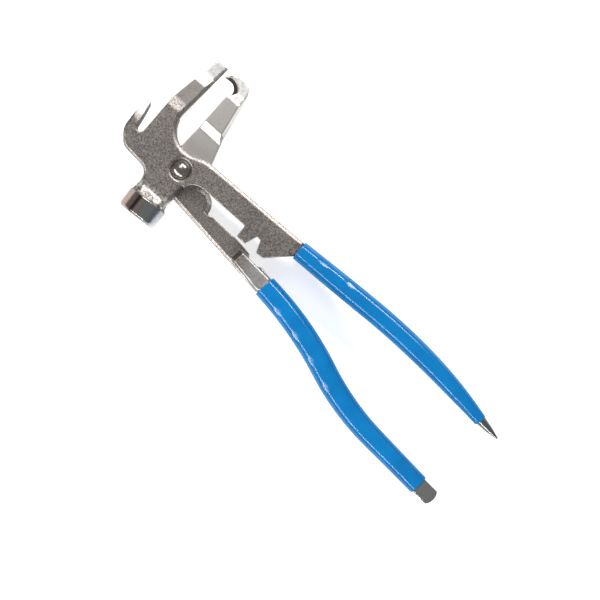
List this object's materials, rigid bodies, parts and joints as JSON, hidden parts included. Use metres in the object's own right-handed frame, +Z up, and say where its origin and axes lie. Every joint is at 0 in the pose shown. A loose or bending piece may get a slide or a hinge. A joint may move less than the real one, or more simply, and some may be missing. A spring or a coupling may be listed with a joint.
{
  "type": "wheel weight hammer pliers",
  "caption": "Riveted hammer pliers with a claw, a hooked jaw, a pipe grip, a trimming notch, a spike, a screwdriver blade and soft vinyl grips.",
  "frame": {"origin": "middle of the tool's footprint, on the surface that it lies on", "axes": "+X along the handles towards their ends, +Y towards the jaw tips, +Z up out of the face that shows the rivet's dome"},
  "size_m": [0.2432, 0.0878, 0.0214],
  "materials": {
    "plated_steel": "satin nickel plate over a pebbled forging, ground bright on the working faces",
    "rivet_steel": "dark polished",
    "blue_vinyl": "smooth dip-moulded vinyl"
  },
  "bodies": {
    "hammer_lever": {"hammer_lever": "plated_steel", "pivot_rivet": "rivet_steel", "hammer_lever_grip": "blue_vinyl"},
    "hook_lever": {"hook_lever": "plated_steel", "hook_lever_grip": "blue_vinyl"}
  },
  "joints": [
    {"name": "pivot", "type": "hinge", "parent": "hammer_lever", "child": "hook_lever", "pos_m": [-0.08472, -0.01012, 0.0107], "axis": [0, 0, 1], "range_deg": [-24, 1]}
  ]
}
